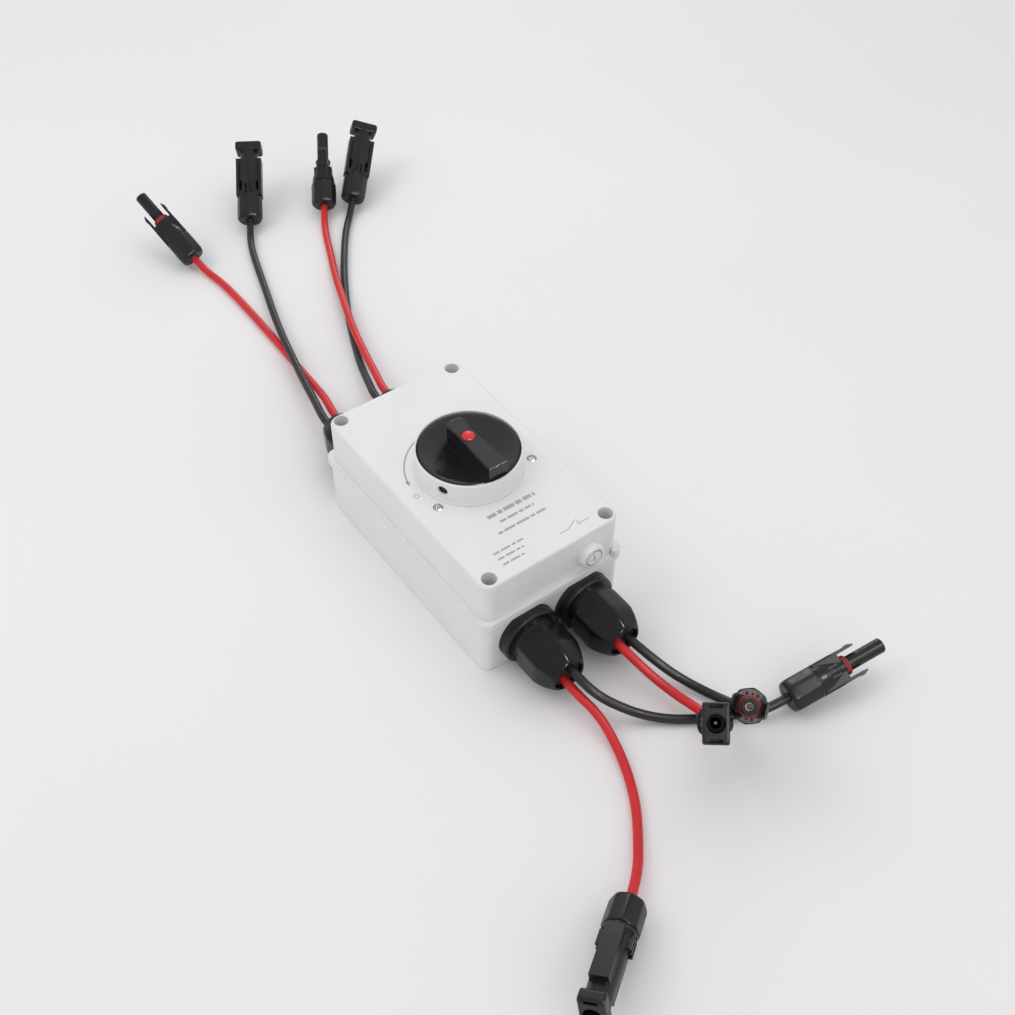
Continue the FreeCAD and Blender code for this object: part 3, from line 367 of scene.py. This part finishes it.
# The end walls' outer faces along Y. The nut's profile is measured from there.
WALL_FACE = 81 * MM
GLAND_NUT = [
    (15.0, 11.0, ROUND), (16.3, 11.0, 14.6), (16.7, 11.3, 14.75), (16.9, 12.0, 14.75),
    (16.9, 19.0, 14.75), (16.9, 24.8, 14.75), (16.8, 25.8, 14.72), (16.6, 27.0, 14.6),
    (16.1, 28.8, 14.2), (15.4, 31.2, 13.5), (14.5, 33.4, 12.6), (13.4, 35.4, 11.7),
    (12.4, 36.9, 11.1), (11.7, 37.9, 10.8), (11.2, 38.5, 10.6), (10.7, 38.9, 10.5),
    (10.2, 39.0, 10.4), (9.7, 38.85, ROUND), (9.4, 38.4, ROUND), (9.3, 37.6, ROUND),
    (9.3, 36.3, ROUND), (9.5, 36.15, ROUND), (9.6, 34.0, ROUND)]


def gland_nut(name, origin, way):
    """A domed hexagon nut that points along way times Y, with a corner up."""
    mesh = turned_mesh(name, GLAND_NUT, sides=6)
    outward = Matrix.Rotation(-way * math.pi / 2, 4, "X")
    corner_up = Matrix.Rotation(math.pi / 6, 4, "Z")
    mesh.transform(Matrix.Translation(origin) @ outward @ corner_up)
    nut = piece(name, mesh, "housing", GLAND)
    soften(nut)
    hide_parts(name)


for end, way in (("front", -1), ("rear", 1)):
    for side in ("left", "right"):
        node_name = f"gland_nut_{end}_{side}"
        low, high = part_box(node_name)
        centre = (low + high) / 2
        gland_nut(node_name, (centre.x, way * WALL_FACE, centre.z), way)


# ---- connector nuts -------------------------------------------------------

# Measured forwards from the end of the lead's route.
PLUG_NUT = [
    (2.75, 6.0, ROUND), (2.75, 0.3, ROUND), (3.1, 0.0, ROUND), (6.4, 0.0, ROUND),
    (7.8, 0.1, ROUND), (8.7, 0.5, 8.4), (9.3, 1.3, 8.85), (9.65, 2.4, 9.1), (9.8, 3.6, 9.18),
    (9.8, 8.0, 9.18), (9.8, 12.0, 9.18), (9.8, 16.6, 9.18), (9.65, 17.3, 9.15),
    (9.3, 17.85, ROUND), (8.8, 18.0, ROUND), (7.65, 18.0, ROUND), (7.6, 16.0, ROUND)]


def along_last_run(route):
    """Placement whose Z runs on from the cable's end."""
    before, end = (MM * Vector(point) for point in route[-2:])
    ahead = (end - before).normalized()
    flat = Vector((0, 0, 1)).cross(ahead).normalized()
    turn = Matrix((flat, ahead.cross(flat), ahead)).transposed().to_4x4()
    return Matrix.Translation(end) @ turn


def plug_nut(name, route):
    """The connector's cable nut, where the lead's route ends."""
    mesh = turned_mesh(f"plug_nut_{name}", PLUG_NUT, sides=8)
    mesh.transform(along_last_run(route))
    nut = piece(f"plug_nut_{name}", mesh, "housing", BLACK)
    soften(nut)
    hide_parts("connector_nuts")
    return nut


def make_cable(name, route, nut):
    """One smooth lead from its gland to its connector."""
    curve = bpy.data.curves.new(f"lead_{name}", "CURVE")
    curve.dimensions = "3D"
    curve.bevel_depth = CABLE_WIDTH / 2
    curve.bevel_resolution = AROUND_CABLE
    curve.resolution_u = ALONG_RUN
    curve.use_fill_caps = True
    spline = curve.splines.new("NURBS")
    spline.points.add(len(route) - 1)
    for point, place in zip(spline.points, route):
        point.co = (*(MM * value for value in place), 1)
    spline.order_u = 3
    spline.use_endpoint_u = True
    colour = name.rsplit("_", 1)[1]
    lead = piece(f"lead_{name}", curve, "housing", RED if colour == "red" else DARK)
    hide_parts(f"cable_{name}")


for cable, (length, route) in CABLES.items():
    make_cable(cable, route, plug_nut(cable, route))


# ---- print on the lid -----------------------------------------------------

LID_TOP = 71 * MM
INK_THICK = 0.05 * MM

# The print is laid out in millimetres from the middle of the lid. The arrow runs
# round the collar, and these are its ends in degrees.
ARROW_RADIUS = 36.8
LINE_START, LINE_STOP, ARROW_ROOT, ARROW_TIP = 112, 166, 165, 171
ARROW_SPREAD = 1.3

BAR_GAP = 1.1
# Rows of bars in place of words: start, end, level, height, the bars' lengths in turn.
ROWS = (
    (-15, 17, -40.2, 2.6, (5.5, 3, 7, 4)),
    (-11, 12, -45.9, 1.6, (4, 6.5, 3)),
    (-17, 15, -52.4, 1.6, (3, 7, 8.5)),
    (-28, -8, -62.6, 1.3, (4, 6, 2.5)),
    (-28, -11, -67, 1.3, (4, 6, 2.5)),
    (-28, -14, -71.4, 1.3, (4, 6, 2.5)),
)


class Print:
    """Thin inked shapes on the lid, in millimetres."""

    def __init__(self):
        self.shape = bmesh.new()

    def patch(self, corners):
        """A flat shape with these corners, in anticlockwise order from above."""
        low = [self.shape.verts.new((MM * x, MM * y, LID_TOP)) for x, y in corners]
        high = [self.shape.verts.new((MM * x, MM * y, LID_TOP + INK_THICK)) for x, y in corners]
        self.shape.faces.new(high)
        self.shape.faces.new(low[::-1])
        for i in range(len(corners)):
            j = (i + 1) % len(corners)
            self.shape.faces.new((low[i], low[j], high[j], high[i]))

    def line(self, start, end, width):
        along = (Vector(end) - Vector(start)).normalized() * width / 2
        across = Vector((-along.y, along.x))
        a, b = Vector(start), Vector(end)
        self.patch([a - across, b - across, b + across, a + across])

    def arc(self, centre, radius, first, last, width, steps=36):
        for i in range(steps):
            angles = [math.radians(first + (last - first) * k / steps) for k in (i, i + 1)]
            inner, outer = radius - width / 2, radius + width / 2
            self.patch([(centre[0] + r * math.cos(t), centre[1] + r * math.sin(t))
                        for r, t in ((inner, angles[0]), (outer, angles[0]),
                                     (outer, angles[1]), (inner, angles[1]))])

    def bars(self, start, end, level, height, lengths):
        x = start
        while x < end:
            length = min(lengths[0], end - x)
            self.patch([(x, level), (x + length, level), (x + length, level + height),
                        (x, level + height)])
            x += length + BAR_GAP
            lengths = lengths[1:] + lengths[:1]


def lid_print():
    ink = Print()
    ink.arc((0, 0), ARROW_RADIUS, LINE_START, LINE_STOP, 1)
    ink.patch([(reach * math.cos(math.radians(angle)), reach * math.sin(math.radians(angle)))
               for reach, angle in ((ARROW_RADIUS - ARROW_SPREAD, ARROW_ROOT),
                                    (ARROW_RADIUS + ARROW_SPREAD, ARROW_ROOT),
                                    (ARROW_RADIUS, ARROW_TIP))])
    # The ring past the arrow's tip stands for off.
    ink.arc((-37.5, -2.5), 1.5, 0, 360, 0.5, 24)
    for row in ROWS:
        ink.bars(*row)
    # The sign of a switch: a wire, its open blade, a ring, a wire and a stroke above.
    ink.line((10, -71), (16, -71), 0.5)
    ink.line((16, -71), (22, -68), 0.5)
    ink.arc((23.2, -71), 0.9, 0, 360, 0.4, 20)
    ink.line((24.2, -71), (30, -71), 0.5)
    ink.line((23.2, -69.6), (23.2, -67.6), 0.4)
    mesh = bpy.data.meshes.new("lid_print")
    ink.shape.to_mesh(mesh)
    ink.shape.free()
    piece("lid_print", mesh, "housing", INK, smooth=False)


lid_print()


# ---- stage and finish -----------------------------------------------------

# Just under the object, and so wide that its far edge is a level horizon.
FLOOR_SIZE, FLOOR_DROP = 30, 0.2 * MM


def make_floor():
    bpy.ops.mesh.primitive_plane_add(size=FLOOR_SIZE, location=(0, 0, -FLOOR_DROP))
    floor = bpy.context.object
    floor.name = "floor"
    paper = Material("paper", (0.8, 0.8, 0.8), 0.7)
    paper.feed("Base Color", paper.ramp(paper.noise(3), 0.83, 0.85))
    floor.data.materials.append(paper.material)


make_floor()
